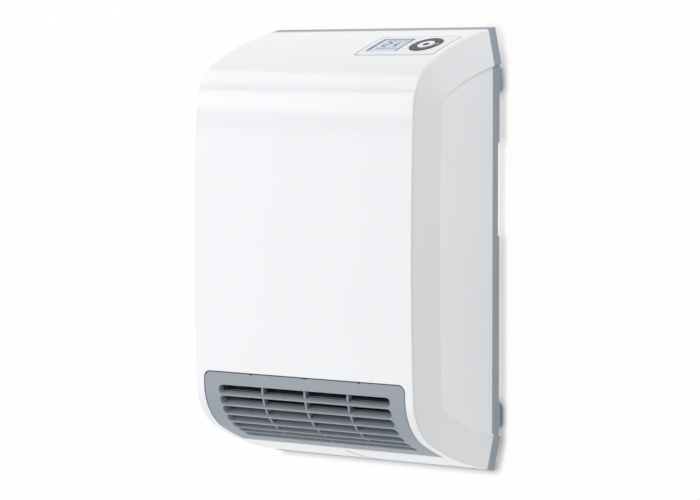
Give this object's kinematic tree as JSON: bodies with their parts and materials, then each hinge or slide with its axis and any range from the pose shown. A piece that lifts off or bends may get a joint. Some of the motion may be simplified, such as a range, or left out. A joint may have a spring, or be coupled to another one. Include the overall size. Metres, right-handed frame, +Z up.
{
  "type": "wall-mounted fan heater",
  "caption": "Wall-mounted electric fan heater with an arched white cover, louvred outlet in the lower front curve, display and rocker ring on top, tangential fan and wall bracket.",
  "frame": {"origin": "centre of the four wall screws, on the wall plane", "axes": "+Z up, +Y into the wall, so the front faces -Y, and +X to the right seen from the front"},
  "size_m": [0.3144, 0.147, 0.47],
  "materials": {
    "white_shell": "satin",
    "white_trim": "fine matt",
    "grey_moulding": "fine matt",
    "grille_grey": "fine matt",
    "dark_key": "fine matt",
    "clear": "clear",
    "display": "satin",
    "board_green": "satin",
    "black_plastic": "satin",
    "sheet_steel": "zinc plated",
    "core_steel": "laminated",
    "copper": "enamelled wire",
    "aluminium": "as rolled",
    "soft_rubber": "matt",
    "screw_steel": "zinc plated"
  },
  "bodies": {
    "heater": {"front_cover": "white_shell", "outlet_grille": "grille_grey", "finger_guard": "sheet_steel", "rear_housing": "grey_moulding", "wall_bracket": "sheet_steel", "control_panel": "white_trim", "display_window": "clear", "lcd_module": "display", "display_board": "board_green", "key_switches": "black_plastic", "fan_scroll": "sheet_steel", "duct_tongue": "sheet_steel", "end_plate_left": "sheet_steel", "end_plate_right": "sheet_steel", "motor_stator": "core_steel", "motor_coil": "copper", "motor_bridges": "aluminium", "end_bearing": "black_plastic", "heater_fins": "aluminium", "heater_bars": "aluminium", "heater_caps": "black_plastic", "thermal_cutout": "black_plastic", "power_board": "board_green", "relays": "black_plastic", "mains_capacitor": "black_plastic", "terminal_block": "white_trim", "cord_clamp": "white_trim", "cable_grommet": "soft_rubber", "air_sensor": "black_plastic"},
    "fan": {"fan_impeller": "aluminium", "motor_rotor": "screw_steel"},
    "ring": {"control_ring": "dark_key"},
    "key": {"centre_key": "white_trim"}
  },
  "joints": [
    {"name": "fan_spin", "type": "hinge", "parent": "heater", "child": "fan", "pos_m": [0, -0.05242, -0.1226], "axis": [1, 0, 0], "continuous": true},
    {"name": "ring_rock", "type": "hinge", "parent": "heater", "child": "ring", "pos_m": [0.11025, -0.07116, 0.21177], "axis": [0, 0.9405, 0.3399], "range_deg": [-1.5, 1.5], "stiffness_Nm_per_rad": 2},
    {"name": "key_press", "type": "slide", "parent": "heater", "child": "key", "axis": [0, 0.3399, -0.9405], "range_m": [0, 0.0005], "stiffness_N_per_m": 1200}
  ]
}
